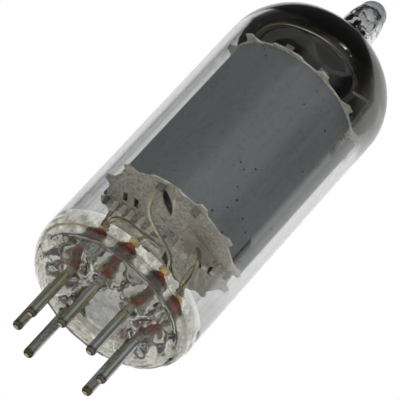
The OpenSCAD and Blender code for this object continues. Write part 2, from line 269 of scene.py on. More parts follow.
viewRight, viewUp, viewBack = addCamera(cameraSet)
print("camera placed")

# pins, seals and leads stand on a ring of eight places, numbered from the first, and the eighth is empty
ringSet = dict(radius=4.7625, first=135, step=45, count=7)
ringTurns = [math.radians(ringSet["first"] + ringSet["step"] * i) for i in range(ringSet["count"])]
pinPlaces = [(ringSet["radius"] * math.cos(turn), ringSet["radius"] * math.sin(turn)) for turn in ringTurns]


def nearestPin(x, y):
    return min(math.hypot(x - px, y - py) for px, py in pinPlaces)


# the bulb and its button are fused in the real tube, so they are one piece of glass here
# lengths in mm; a tint is the light that passes; a span is where something begins and where it is full
# a noise is given by its scale, detail, roughness and any stretch, and its cut is where it begins and is full
glassSet = dict(
    outerR=8.825, wall=0.75, baseZ=6.0, straightZ=39.4, stemTopZ=8.3, steps=224,
    # the underside: a shallow dish in the middle, then level, then the heel with its faint rings
    dishUp=0.35, dishFlat=(0, 0.5, 1, 1.5, 2, 2.4, 2.8, 3.0),
    dishEdge=[(3.1, 0.93), (3.2, 0.7), (3.3, 0.35), (3.4, 0.08), (3.5, 0)], levelStep=0.144, levelPoints=14,
    heelR=3.3, heelPoints=52, ringDepth=0.05, ringPoints=13,
    # the inside above the stem
    floorFlat=(0, 0.6, 1.2, 1.8, 2.4), floorFrom=2.8, floorStep=0.1, floorPoints=35,
    fillet=1.7, filletPoints=24,
    # the straight wall and the shoulder
    outerRows=10, innerRowStep=2.9, innerRows=10, shoulderR=6.8,
    outerShoulder=(70, 22), innerShoulder=(78, 18),
    # the exhaust tip, outside and inside
    tipOutside=[(3.86, 45.96), (3.4, 46.12), (3.0, 46.3), (2.66, 46.52), (2.38, 46.8), (2.18, 47.15),
                (2.04, 47.55), (1.96, 48.0), (1.93, 48.5), (1.92, 49.0), (1.9, 49.5), (1.84, 50.0),
                (1.76, 50.5), (1.65, 50.95)],
    tipInside=[(2.9, 45.42), (2.4, 45.55), (1.95, 45.8), (1.66, 46.15), (1.52, 46.6), (1.44, 47.2),
               (1.4, 48.0), (1.37, 48.8), (1.33, 49.6), (1.25, 50.3)],
    ballOutside=(51.4, 1.5, 10), ballInside=(50.7, 1.15, 7), tipLean=(0.31, 0.113), leanSpan=(45.6, 48),
    # collars where the glass wets the pins, mounds round the leads, and the unevenness of pressed glass
    collarUp=0.45, collarSpan=(0.45, 1.2), collarZone=(3.3, 6.6), collarBelow=1, unevenBelow=1.2,
    moundUp=2.2, moundSpan=(0.32, 1.75), moundBelow=0.3,
    unevenUnder=[(0.05, 0.9, 3), (0.02, 2.6, 7)], unevenInside=[(0.06, 0.8, 11)],
    # tints
    clear=(0.975, 0.985, 0.98), stem=(0.965, 0.955, 0.885), stemSpan=(8.5, 11.2),
    dishDark=(0.30, 0.30, 0.285), dishPale=(0.66, 0.66, 0.63), dishSpan=(4.8, 3.4), dishTop=8.8,
    heel=(0.48, 0.455, 0.365), heelFrom=6.2, heelSpan=(10.5, 8.8),
    heelSides=(20, 48), heelShares=(0.75, 0.2),
    arcs=(0.33, 0.33, 0.30), arcShare=0.4, arcsFrom=6.8, arcsTop=(8.5, 8.3), arcsFoot=(6.6, 7.2),
    inside=(0.17, 0.165, 0.13), insideWithin=8.4, insideFrom=8.35, insideSpan=(10.4, 9.6),
    seam=(0.13, 0.095, 0.02), seamRadii=(6.8, 8.5), seamFoot=(8.80, 8.84), seamTop=(8.97, 8.93),
    seamSides=(-4, 6), seamShares=(1.0, 0.6), grit=(0.34, 0.33, 0.29), gritSpan=(7.2, 6), gritBelow=7.2,
    tip=(0.30, 0.31, 0.33), tipSpan=(49.3, 51.5),
    pressedOut=(7.1, 6.6), pressedUp=(11.2, 10.6), frost=(0.02, 0.12),
    body=(0.36, 0.37, 0.33), bodyDensity=80, shade=(0.93, 0.94, 0.93),
    # noises, and their cuts
    ripple=(260, 3, 0.5), fineRipple=(1500, 2, 0.5), fineShare=0.12, rippleBump=(0.5, 0.22),
    mottle=(900, 5, 0.7), heelMottle=(0.32, 0.62, 0.15, 1.0), insideMottle=(0.38, 0.58, 0.05, 0.8),
    gritGrain=(3200, 3, 0.6), gritCut=(0.5, 0.66), arcWaves=560, arcWander=0.6, arcCut=(0.45, 0.8))


def glassMaterial(s):
    f = Finish("bulbGlass")
    where = f.place()
    x, y, height = (f.part(where, axis) for axis in "XYZ")
    out = (x * x + y * y) ** 0.5
    ripple = f.speckle(*s["ripple"]) + f.speckle(*s["fineRipple"]) * s["fineShare"]
    mottle = f.speckle(*s["mottle"])
    stem = f.within(height, s["stemSpan"], 1.0, 0.0)
    tint = f.blend(stem, s["clear"], s["stem"])
    dish = f.within(out, s["dishSpan"]) * (height < s["dishTop"] * mm)
    tint = f.blend(dish, tint, f.mottled(mottle, s["dishDark"], s["dishPale"]))
    # the heel's greyish mottled tint, with painted shade that makes it darkest in the middle of the front and
    # the back
    heel = (out > s["heelFrom"] * mm) * f.within(height, s["heelSpan"]) * f.spread(mottle, *s["heelMottle"])
    heel = heel * f.spread(x * x, *(square * mm * mm for square in s["heelSides"]), *s["heelShares"])
    tint = f.blend(heel, tint, s["heel"])
    # fine dark arcs along the lower heel
    arcs = f.node("TexWave", {"bands_direction": "Z"}, {
        "Vector": where, "Scale": s["arcWaves"], "Distortion": s["arcWander"], "Detail": 2})
    arcs = f.spread(arcs, *s["arcCut"]) * (out > s["arcsFrom"] * mm)
    arcs = arcs * f.within(height, s["arcsTop"]) * f.within(height, s["arcsFoot"])
    tint = f.blend(arcs * s["arcShare"], tint, s["arcs"])
    # dark mottling on the inside of the wall, above the stem: partly grime on the glass, partly painted shade
    # standing in for the dark interior seen through it
    inside = (out < s["insideWithin"] * mm) * (height > s["insideFrom"] * mm)
    inside = inside * f.within(height, s["insideSpan"])
    tint = f.blend(inside * f.spread(mottle, *s["insideMottle"]), tint, s["inside"])
    # the thin brown line of the fused seam
    seam = (out > s["seamRadii"][0] * mm) * (out < s["seamRadii"][1] * mm)
    seam = seam * f.within(height, s["seamFoot"]) * f.within(height, s["seamTop"])
    tint = f.blend(seam * f.within(x, s["seamSides"], *s["seamShares"]), tint, s["seam"])
    grit = f.speckle(*s["gritGrain"])
    under = f.within(out, s["gritSpan"]) * (height < s["gritBelow"] * mm) * f.spread(grit, *s["gritCut"])
    tint = f.blend(under, tint, s["grit"])
    tint = f.blend(f.within(height, s["tipSpan"]), tint, s["tip"])
    pressed = f.within(out, s["pressedOut"]) * f.within(height, s["pressedUp"])
    frosted = pressed * f.varied(mottle, *s["frost"])
    glass = f.node("BsdfPrincipled", inputs={
        "Base Color": tint, "Roughness": frosted, "IOR": 1.5, "Transmission Weight": 1.0,
        "Normal": f.bumped(ripple * stem, *s["rippleBump"])})
    # lamps shine through the glass as through a clear sheet
    lampLight = f.node("BsdfTransparent", inputs={"Color": s["shade"]})
    shadow = f.node("LightPath", out="Is Shadow Ray")
    grey = f.node("VolumeAbsorption", inputs={"Color": s["body"], "Density": s["bodyDensity"]})
    return f.surface(f.node("MixShader", inputs={0: shadow, 1: glass, 2: lampLight}), grey)


def shoulder(s, inset, turn, count):
    return arc((s["outerR"] - s["shoulderR"], s["straightZ"]), s["shoulderR"] - inset, 0, turn, count)


def outerGlass(s):
    base, heelMiddle, heelTop = s["baseZ"], s["outerR"] - s["heelR"], s["baseZ"] + s["heelR"]
    line = [(r, base + s["dishUp"]) for r in s["dishFlat"]]
    line += [(r, base + s["dishUp"] * share) for r, share in s["dishEdge"]]
    line += [(line[-1][0] + s["levelStep"] * i, base) for i in range(1, s["levelPoints"] + 1)]
    for i in range(1, s["heelPoints"] + 1):  # faint rings left by the sealing flame along the heel
        turn = math.radians(-90 + 90 * i / s["heelPoints"])
        radius = s["heelR"] - s["ringDepth"] * (0.5 - 0.5 * math.cos(i * math.tau / s["ringPoints"]))
        line.append((heelMiddle + radius * math.cos(turn), heelTop + radius * math.sin(turn)))
    rowStep = (s["straightZ"] - heelTop) / s["outerRows"]
    line += [(s["outerR"], heelTop + i * rowStep) for i in range(1, s["outerRows"])]
    line += shoulder(s, 0, *s["outerShoulder"]) + s["tipOutside"]
    return roundEnded(line, s["ballOutside"])


def innerGlass(s):
    inner, floor = s["outerR"] - s["wall"], s["stemTopZ"]
    line = [(r, floor) for r in s["floorFlat"]]
    line += [(s["floorFrom"] + s["floorStep"] * i, floor) for i in range(s["floorPoints"])]
    line += arc((inner - s["fillet"], floor + s["fillet"]), s["fillet"], -90, 0, s["filletPoints"])
    line += [(inner, floor + s["fillet"] + i * s["innerRowStep"]) for i in range(1, s["innerRows"])]
    line += shoulder(s, s["wall"], *s["innerShoulder"]) + s["tipInside"]
    return roundEnded(line, s["ballInside"])


def uneven(x, y, rows):
    # each row: height, waves to the mm, and its own layer of the noise
    return sum(up * noise.noise(Vector((x * often, y * often, layer))) for up, often, layer in rows)


def leaned(x, y, z, s):
    # the exhaust tip stands a little off the tube's axis
    lean = smoothStep(*s["leanSpan"], z)
    return x + s["tipLean"][0] * lean, y + s["tipLean"][1] * lean, z


def pressedBase(x, y, z, s):
    # collars where the glass wets the pins, and an uneven pressed surface
    nearest, farthest = s["collarZone"]
    if z < s["baseZ"] + s["collarBelow"] and nearest < math.hypot(x, y) < farthest:
        z -= s["collarUp"] * (1 - smoothStep(*s["collarSpan"], nearestPin(x, y)))
    if z < s["baseZ"] + s["unevenBelow"]:
        z += uneven(x, y, s["unevenUnder"])
    return x, y, z


def mounded(x, y, z, s):
    # a mound of glass round each lead inside the bulb
    if z < s["stemTopZ"] + s["moundBelow"]:
        z += s["moundUp"] * (1 - smoothStep(*s["moundSpan"], nearestPin(x, y)))
        z += uneven(x, y, s["unevenInside"])
    return x, y, z


def moved(piece, s, *moves):
    for vertex in piece.data.vertices:
        place = vertex.co / mm
        for move in moves:
            place = move(*place, s)
        vertex.co = Vector(place) * mm
    return piece


def makeGlass(s):
    outer = moved(spunLine("glass_envelope", outerGlass(s), s["steps"]), s, pressedBase, leaned)
    inner = moved(spunLine("glass_cavity", innerGlass(s), s["steps"]), s, mounded, leaned)
    selectOnly(inner)
    editMode("FACE")
    bpy.ops.mesh.flip_normals()  # the glass lies between the two skins
    bpy.ops.object.mode_set(mode="OBJECT")
    selectOnly(outer)
    inner.select_set(True)
    bpy.ops.object.join()
    finishPiece(outer, glassMaterial(s), ("bulb", "button_stem"))


makeGlass(glassSet)
print("glass made")

# the getter film is opaque over the dome, a faint haze farther down, and lies in patches in the tip, where
# painted highlights stand in for the glints on the glass facets
filmSet = dict(
    lowZ=10.5, rowStep=3.6, rows=8, off=0.03, thick=0.012, steps=160, shoulder=(78, 22), ball=(50.7, 1.18, 7),
    tip=[(2.9, 45.45), (2.4, 45.58), (1.98, 45.83), (1.69, 46.18), (1.55, 46.6), (1.47, 47.2),
         (1.43, 48.0), (1.4, 48.8), (1.36, 49.6), (1.28, 50.3)],
    # its ragged edge, higher at the left
    edgeZ=41.0, edgeWander=1.2, edgeSpan=(-0.35, 0.45), leftSpan=(-8.8, -5), leftUp=1.6,
    # a grey patch on the right, where the film is thin
    greySide=(5.0, 7.6), greyFoot=(35.0, 39.0), greyTop=(45.5, 43.5), greyCover=0.45,
    # patches in the tip, and painted highlights standing in for bright glints on its facets
    hazeFoot=(17, 11), hazeMore=2.4,
    # patches and bright flashes in the tip
    tipFrom=46.4, tipMiddle=(0.3, 48.6), tipSlope=(0.12, 0.06),
    patchSpan=(0.45, 0.51), patchCover=(0.04, 0.97),
    paintedTipGlintSpan=(0.54, 0.59), paintedTipGlintFoot=(47.4, 48.2), paintedTipGlintCover=0.85,
    # noises, and their cuts
    cloud=(420, 3, 0.5), fine=(1500, 4, 0.6), streak=(1100, 4, 0.6, (1, 1, 0.04)), facet=(900, 2, 0.5),
    paintedTipGlint=(1300, 1, 0.5), greyStreak=(0.2, 0.7, 0.7, 1.0), hazeStreak=(0.35, 0.75, 0.045, 0.075),
    # colours of the metal
    edgeTint=(0.014, 0.011, 0.007), domeTint=(0.0035, 0.003, 0.0024), domeSpan=(0.0, 2.5),
    tipTint=(0.05, 0.043, 0.025), tipTintSpan=(46.0, 47.0), paintedTipGlintTint=(0.95, 0.97, 0.95),
    fineTint=(0.010, 0.008, 0.006), fineShare=0.3, greyTint=(0.12, 0.118, 0.11),
    greyDull=0.7, paintedTipGlintDull=0.9, grazing=(0.2, 0.19, 0.17), rough=(0.06, 0.14))


def filmMaterial(s):
    f = Finish("getterFilm")
    where = f.place()
    x, z = f.part(where, "X") * (1 / mm), f.part(where, "Z") * (1 / mm)
    cloud, fine, streak = (f.speckle(*s[noiseName]) for noiseName in ("cloud", "fine", "streak"))
    edge = z - s["edgeZ"] + (cloud - 0.5) * s["edgeWander"] + f.spread(x, *s["leftSpan"], s["leftUp"], 0.0)
    share = f.spread(edge, *s["edgeSpan"])
    grey = f.spread(x, *s["greySide"]) * f.spread(z, *s["greyFoot"]) * f.spread(z, *s["greyTop"])
    grey = grey * f.spread(streak, *s["greyStreak"])
    haze = f.spread(streak, *s["hazeStreak"]) * f.spread(z, *s["hazeFoot"], 1.0, s["hazeMore"])
    facet = f.speckle(*s["facet"])
    middleX, middleZ = s["tipMiddle"]
    slopeX, slopeZ = s["tipSlope"]
    facet = facet - (x - middleX) * slopeX - (z - middleZ) * slopeZ
    patches = f.spread(facet, *s["patchSpan"], *s["patchCover"])
    # painted highlights: pale, dull patches in the tip stand in for the glints on its facets
    paintedTipGlint = f.spread(f.speckle(*s["paintedTipGlint"]), *s["paintedTipGlintSpan"]) * f.spread(z, *s["paintedTipGlintFoot"])
    paintedTipGlint = paintedTipGlint * s["paintedTipGlintCover"]
    patches = f.most(patches, paintedTipGlint)
    cover = f.most(f.most(share, grey * s["greyCover"]), haze)
    cover = f.pick(z > s["tipFrom"], cover, patches)
    colour = f.blend(f.spread(edge, *s["domeSpan"]), s["edgeTint"], s["domeTint"])
    colour = f.blend(f.spread(z, *s["tipTintSpan"]), colour, s["tipTint"])
    colour = f.blend(paintedTipGlint, colour, s["paintedTipGlintTint"])
    colour = f.blend(grey, f.blend(fine * s["fineShare"], colour, s["fineTint"]), s["greyTint"])
    metallic = 1 - grey * s["greyDull"] - paintedTipGlint * s["paintedTipGlintDull"]
    return f.surface(f.node("BsdfPrincipled", inputs={
        "Base Color": colour, "Metallic": metallic, "Specular Tint": s["grazing"],
        "Roughness": f.varied(fine, *s["rough"]), "Alpha": cover}))


def makeFilm(s, glass):
    # it follows the inside of the glass, just within the wall
    inset = glass["wall"] - s["off"]
    line = [(glass["outerR"] - inset, s["lowZ"] + i * s["rowStep"]) for i in range(s["rows"])]
    line += shoulder(glass, inset, *s["shoulder"]) + s["tip"]
    film = moved(spunLine("getter_film", roundEnded(line, s["ball"]), s["steps"]), glass, leaned)
    thicken = film.modifiers.new("thickness", "SOLIDIFY")
    thicken.thickness = s["thick"] * mm
    thicken.offset = 0
    bpy.ops.object.modifier_apply(modifier="thickness")
    finishPiece(film, filmMaterial(s))


makeFilm(filmSet, glassSet)
print("getter film made")

# the channel of the getter, a rounded gutter with a painted highlight along its outer lip: a dim sheen line
# that turns bright on the near side
getterSet = dict(
    r=5.45, halfWidth=0.42, height=0.62, wall=0.12, off=1.25, upZ=41.6, tilt=10.5, steps=128,
    outsidePoints=24, insidePoints=12, lipAt=-62, lipSpan=16,
    soot=(0.030, 0.024, 0.016), sootPale=(0.07, 0.055, 0.032), paintedLipDim=(0.22, 0.19, 0.11),
    paintedLipBright=(1.0, 0.97, 0.86), paintedHighlightLeft=1.0, paintedHighlightSpan=(9.0, 1.0), rough=(0.25, 0.4), metallic=0.6,
    sootGrain=(900, 4, 0.6), lipHighlightBreakup=(260, 2, 0.5), lipHighlightBreakupCut=(0.35, 0.55, 0.6, 1.0))


def getterMaterial(s):
    f = Finish("getterIron")
    lip = f.node("Attribute", {"attribute_name": "lip"}, out="Fac")
    soot = f.speckle(*s["sootGrain"])
    patchy = f.speckle(*s["lipHighlightBreakup"])
    colour = f.mottled(soot, s["soot"], s["sootPale"])
    x, y = f.part(f.place(), "X") * (1 / mm), f.part(f.place(), "Y")
    # painted highlight on the lip: dim along the whole lip, bright on the near side left of the middle,
    # broken into patches by a noise, and less metallic so that it looks brighter
    beside = x + s["paintedHighlightLeft"]
    bright = f.spread(beside * beside, *s["paintedHighlightSpan"]) * (y < 0)
    paintedLipHighlight = f.blend(bright, s["paintedLipDim"], s["paintedLipBright"])
    colour = f.blend(lip * f.spread(patchy, *s["lipHighlightBreakupCut"]), colour, paintedLipHighlight)
    return f.surface(f.node("BsdfPrincipled", inputs={
        "Base Color": colour, "Metallic": s["metallic"] - lip * s["metallic"],
        "Roughness": f.varied(soot, *s["rough"])}))


def makeGetter(s):
    # half section: a round bottom, two upright walls and the open side on top
    middle = (s["r"], s["halfWidth"])
    outside = arc(middle, s["halfWidth"], -180, 0, s["outsidePoints"])
    inside = arc(middle, s["halfWidth"] - s["wall"], 0, -180, s["insidePoints"])
    line = [(outside[0][0], s["height"])] + outside + [(outside[-1][0], s["height"])]
    line += [(inside[0][0], s["height"])] + inside + [(inside[-1][0], s["height"])]
    line += [(outside[0][0], s["height"])]
    ring = spunLine("getter_gutter", line, s["steps"])
    # the lip band of the section, where the painted highlight lies
    lip = ring.data.attributes.new("lip", "FLOAT", "POINT")
    for vertex, value in zip(ring.data.vertices, lip.data):
        x, y, z = vertex.co / mm
        across, up = math.hypot(x, y) - s["r"], z - middle[1]
        onOutside = math.hypot(up, across) > s["halfWidth"] - s["wall"] / 2
        onLip = abs(math.degrees(math.atan2(up, across)) - s["lipAt"]) < s["lipSpan"] / 2
        value.value = 1.0 if onOutside and onLip else 0.0
    ring.data.transform(Matrix.Rotation(math.radians(-s["tilt"]), 4, "Y"))
    ring.data.transform(Matrix.Translation((-s["off"] * mm, 0, s["upZ"] * mm)))
    finishPiece(ring, getterMaterial(s), ("getter_ring",))


makeGetter(getterSet)
print("getter made")

# half section of one seal wire: bare below, thick with oxide in the glass, a gold weld bead on top
sealSet = dict(
    line=[(0, 5.72), (0.34, 5.72), (0.34, 6.7), (0.36, 7.3), (0.4, 7.7), (0.5, 8.1), (0.53, 8.5), (0.5, 8.9),
          (0.45, 9.2), (0.42, 9.6), (0.42, 10.3), (0.36, 10.6), (0.34, 10.75), (0.48, 10.85), (0.55, 11.0),
          (0.57, 11.15), (0.54, 11.32), (0.42, 11.47), (0.2, 11.56), (0, 11.58)], steps=24,
    bare=(0.30, 0.29, 0.25), oxide=(0.16, 0.13, 0.10), oxideRed=(0.30, 0.05, 0.025), oxideSpan=(6.6, 7.6),
    red=(0.85, 0.12, 0.03), redDark=(0.42, 0.03, 0.012), redSpan=(9.1, 9.5), redWander=0.8,
    gold=(1.0, 0.84, 0.42), goldSpan=(10.7, 10.8), goldSmooth=0.15, rough=(0.25, 0.4),
    metallic=0.3, goldMetallic=0.3, patch=(1500, 3, 0.6), oxideCut=(0.42, 0.58))


def sealMaterial(s):
    f = Finish("sealWire")
    height = f.part(f.place(), "Z")
    patch = f.speckle(*s["patch"])
    wander = height + (patch - 0.5) * (s["redWander"] * mm)
    red = f.mottled(patch, s["red"], s["redDark"])
    oxide = f.blend(f.spread(patch, *s["oxideCut"]), s["oxide"], s["oxideRed"])
    colour = f.blend(f.within(height, s["oxideSpan"]), s["bare"], oxide)
    colour = f.blend(f.within(wander, s["redSpan"]), colour, red)
    gold = f.within(height, s["goldSpan"])
    colour = f.blend(gold, colour, s["gold"])
    return f.surface(f.node("BsdfPrincipled", inputs={
        "Base Color": colour, "Metallic": s["metallic"] + gold * s["goldMetallic"],
        "Roughness": f.varied(patch, *s["rough"]) - gold * s["goldSmooth"]}))


def makeSeals(s):
    # the first is finished at its pin, and the others are copies of it, each moved to its own pin
    material = sealMaterial(s)
    first = spunLine("seal_bead_1", s["line"], s["steps"])
    firstX, firstY = pinPlaces[0]
    first.data.transform(Matrix.Translation((firstX * mm, firstY * mm, 0)))
    finishPiece(first, material, ("seal_wire_1",))
    for k, (x, y) in enumerate(pinPlaces[1:], 2):
        selectOnly(first)
        bpy.ops.object.duplicate(linked=False)
        wire = bpy.context.object
        wire.name = "seal_bead_%d" % k
        wire.data.transform(Matrix.Translation(((x - firstX) * mm, (y - firstY) * mm, 0)))
        finishPiece(wire, material, ("seal_wire_%d" % k,))


makeSeals(sealSet)
print("seal wires made")

# the real sheets are thinner and bitten deeper between their teeth than the solids that carry the cage
micaSet = dict(
    rimFrom=7.35, biteR=7.495, toothR=8.045, newBiteR=7.26, newToothR=7.97, sharpness=3.5, thick=0.17,
    flat=0.5, sheet=(0.64, 0.60, 0.51), sheetDark=(0.44, 0.42, 0.36),
    noises=dict(flakes=(700, 5, 0.65), cloud=(180, 3, 0.5), pink=(420, 3, 0.6), flecks=(3200, 4, 0.7),
                scratches=(1500, 3, 0.6, (1, 0.12, 1))),
    # laid over the sheet's own colour in turn: noise, its span, how much, and the colour
    layers=[("pink", (0.5, 0.7), 0.6, (0.50, 0.38, 0.33)),
            ("flakes", (0.5, 0.72), 0.5, (0.72, 0.69, 0.60)),
            ("flakes", (0.46, 0.3), 0.6, (0.22, 0.20, 0.17)),
            ("flecks", (0.52, 0.62), 0.6, (0.17, 0.15, 0.12)),
            ("flecks", (0.48, 0.38), 0.55, (0.92, 0.89, 0.80)),
            ("scratches", (0.6, 0.7), 0.6, (0.95, 0.92, 0.84))],
    paintedLightSide=(0.95, 0.92, 0.84), paintedLightSpan=(1.5, 8.0), paintedLightShare=0.4,
    middle=(0.10, 0.09, 0.07), rodShadeSpan=(1.0, 0.2), rodShadeCut=(0.42, 0.58), rodShadeShare=0.7,
    rim=(0.76, 0.73, 0.63), rimSpan=(7.1, 7.9), rimWander=0.5, rimShare=0.35,
    edgeDark=(0.42, 0.39, 0.32), edgePale=(0.86, 0.82, 0.70), edgeUpright=0.25,
    rough=(0.25, 0.5), coat=0.3, coatRough=0.15, bump=(0.35, 0.03))


def micaMaterial(s):
    f = Finish("micaSheet")
    noises = {name: f.speckle(*numbers) for name, numbers in s["noises"].items()}
    where = f.place()
    x, y = f.part(where, "X"), f.part(where, "Y")
    out = (x * x + y * y) ** 0.5
    rim = f.within(out + (noises["flakes"] - 0.5) * (s["rimWander"] * mm), s["rimSpan"])
    upright = f.part(f.node("NewGeometry", out="True Normal"), "Z")
    edgeFace = upright * upright < s["edgeUpright"]
    colour = f.mottled(noises["cloud"], s["sheet"], s["sheetDark"])
    for name, span, share, tint in s["layers"]:
        colour = f.blend(f.spread(noises[name], *span) * share, colour, tint)
    # painted light: the sheet is paler towards +x, the side that the right lamp lights
    colour = f.blend(f.within(x, s["paintedLightSpan"]) * s["paintedLightShare"], colour, s["paintedLightSide"])
    # painted shade: a broken dark line along the middle, where the row of rods stands through the sheet
    middle = f.spread(y * y, *(square * mm * mm for square in s["rodShadeSpan"]))
    middle = middle * f.spread(noises["flecks"], *s["rodShadeCut"]) * s["rodShadeShare"]
    colour = f.blend(middle, colour, s["middle"])
    colour = f.blend(rim * s["rimShare"], colour, s["rim"])
    colour = f.blend(edgeFace, colour, f.mottled(noises["flakes"], s["edgeDark"], s["edgePale"]))
    return f.surface(f.node("BsdfPrincipled", inputs={
        "Base Color": colour, "Roughness": f.varied(noises["flakes"], *s["rough"]), "Coat Weight": s["coat"],
        "Coat Roughness": s["coatRough"], "Normal": f.bumped(noises["flecks"], *s["bump"])}))


def rimRadius(r, s):
    share = max(0, (r - s["biteR"]) / (s["toothR"] - s["biteR"]))
    return s["newBiteR"] + (s["newToothR"] - s["newBiteR"]) * share ** s["sharpness"]


def makeMica(name, part, anodeZ, material, s):
    # a copy of the solid, merged, with a new rim; the face on the anode stays where it is
    sheet = bpy.data.objects.new(name, nodes[part].data.copy())
    bpy.context.scene.collection.objects.link(sheet)
    selectOnly(sheet)
    editMode()
    bpy.ops.mesh.remove_doubles(threshold=mergeGap)
    bpy.ops.mesh.dissolve_limited(angle_limit=math.radians(s["flat"]))
    bpy.ops.object.mode_set(mode="OBJECT")
    for vertex in sheet.data.vertices:
        x, y, z = vertex.co / mm
        r = math.hypot(x, y)
        if r > s["rimFrom"]:
            scale = rimRadius(r, s) / r
            x, y = x * scale, y * scale
        if abs(z - anodeZ) > s["thick"]:
            z = anodeZ + math.copysign(s["thick"], z - anodeZ)
        vertex.co = Vector((x, y, z)) * mm
    editMode("FACE")
    bpy.ops.mesh.quads_convert_to_tris(quad_method="BEAUTY", ngon_method="BEAUTY")
    bpy.ops.object.mode_set(mode="OBJECT")
    finishPiece(sheet, material, (part,))


mica = micaMaterial(micaSet)
makeMica("mica_sheet_lower", "mica_lower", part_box("mica_lower")[1][2] / mm, mica, micaSet)
makeMica("mica_sheet_upper", "mica_upper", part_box("mica_upper")[0][2] / mm, mica, micaSet)
print("micas made")

# the plain metals share their fine dark spots and worn clouds
# each has its colour, its roughness, the colour where it is worn, how spotty and how metallic it is
metalSet = dict(
    grain=(900, 4, 0.6), spotCut=(0.45, 0.75), spotShade=0.45, cloud=(180, 3, 0.5), cloudCut=(0.35, 0.7),
    wornShade=0.7, rougher=0.12, bump=(0.25, 0.02), metals=dict(
        leadNickel=dict(colour=(0.84, 0.79, 0.64), rough=0.12, patchy=(0.45, 0.4, 0.27), spots=0.5),
        gridRodCopper=dict(colour=(0.97, 0.94, 0.86), rough=0.2, patchy=(0.8, 0.73, 0.6), spots=0.2,
                           metallic=0.4),
        gridWireMolybdenum=dict(colour=(0.4, 0.38, 0.34), rough=0.3),
        strapNickel=dict(colour=(0.62, 0.52, 0.47), rough=0.35, patchy=(0.42, 0.35, 0.31), spots=0.4,
                         metallic=0.6),
        postNickel=dict(colour=(0.8, 0.76, 0.64), rough=0.25, patchy=(0.55, 0.5, 0.4), spots=0.2,
                        metallic=0.7),
        cathodeNickel=dict(colour=(0.6, 0.6, 0.58), rough=0.4, metallic=0.3),
        heaterAlumina=dict(colour=(0.85, 0.84, 0.8), rough=0.7, metallic=0.0)))


def metal(name, s, colour, rough, patchy=None, spots=0.0, metallic=1.0):
    f = Finish(name)
    grain = f.speckle(*s["grain"])
    cloud = f.speckle(*s["cloud"])
    patchy = patchy or tuple(c * s["wornShade"] for c in colour)
    shade = f.blend(f.spread(cloud, *s["cloudCut"]), colour, patchy)
    shade = f.blend(f.spread(grain, *s["spotCut"]) * spots, shade, tuple(c * s["spotShade"] for c in colour))
    return f.surface(f.node("BsdfPrincipled", inputs={
        "Base Color": shade, "Metallic": metallic, "Roughness": f.varied(grain, rough, rough + s["rougher"]),
        "Normal": f.bumped(grain, *s["bump"])}))


metals = {name: metal(name, metalSet, **look) for name, look in metalSet["metals"].items()}
print("metals mixed")

# each lead: where it starts, its two handles and its end, in mm; foot is how much thicker its weld is
leadSet = dict(r=0.22, foot=1.75, footShare=0.1, roundness=4, rows=22, sharp=50, routes=[
    [(-3.368, 3.368, 11.2), (-3.368, 3.368, 13.2), (-1.549, 0.53, 14.4), (-1.549, 0.53, 16.4)],
    [(-4.7625, 0, 11.2), (-4.7625, 0, 13.2), (-5.881, 0.53, 14.4), (-5.881, 0.53, 16.4)],
    [(-3.368, -3.368, 11.2), (-3.568, -6.568, 13.2), (-1.2, -3.4, 13.2), (-0.5, -0.31, 15.4)],
    [(0, -4.7625, 11.2), (0, -4.7625, 13.6), (0.9, -2.4, 13.4), (0.5, -0.31, 15.4)],
    [(3.368, -3.368, 11.2), (4.968, -5.168, 13.4), (-3.4, -3, 14.4), (-0.932, -6.63, 16.75)],
    [(4.7625, 0, 11.2), (4.7625, 0, 13.0), (6.2, -5, 13.8), (4.0, -2.28, 16.03)],
    [(3.368, 3.368, 11.2), (3.368, 3.368, 13.2), (3.984, 0.53, 14.4), (3.984, 0.53, 16.4)]])


def splitRoute(route, share):
    # the same curve as two spans, so that the weld at its foot can be thicker
    a, b, c, d = (Vector(p) for p in route)
    ab, bc, cd = a.lerp(b, share), b.lerp(c, share), c.lerp(d, share)
    abc, bcd = ab.lerp(bc, share), bc.lerp(cd, share)
    return [a, ab, abc, abc.lerp(bcd, share), bcd, cd, d]


def makeLead(k, route, s):
    deselectAll()
    bpy.ops.curve.primitive_bezier_curve_add(radius=mm)
    wire = bpy.context.object
    wire.name = "lead_wire_%d" % k
    wire.data.dimensions = "3D"
    spline = wire.data.splines[0]
    spline.bezier_points.add(1)
    a, aOut, bIn, b, bOut, cIn, c = splitRoute(route, s["footShare"])
    places = ((a * 2 - aOut, a, aOut, s["foot"]), (bIn, b, bOut, 1.0), (cIn, c, c * 2 - cIn, 1.0))
    for point, (left, here, right, thick) in zip(spline.bezier_points, places):
        point.handle_left_type = point.handle_right_type = "FREE"
        point.handle_left, point.co, point.handle_right = left * mm, here * mm, right * mm
        point.radius = thick
    wire.data.bevel_depth = s["r"] * mm
    wire.data.bevel_resolution = s["roundness"]
    wire.data.resolution_u = s["rows"]
    wire.data.use_fill_caps = True
    bpy.ops.object.convert(target="MESH")
    wire = bpy.context.object
    bpy.ops.object.shade_smooth_by_angle(angle=math.radians(s["sharp"]))
    finishPiece(wire, metals["leadNickel"], ("lead_%d" % k,))


for k, route in enumerate(leadSet["routes"], 1):
    makeLead(k, route, leadSet)
print("leads made")

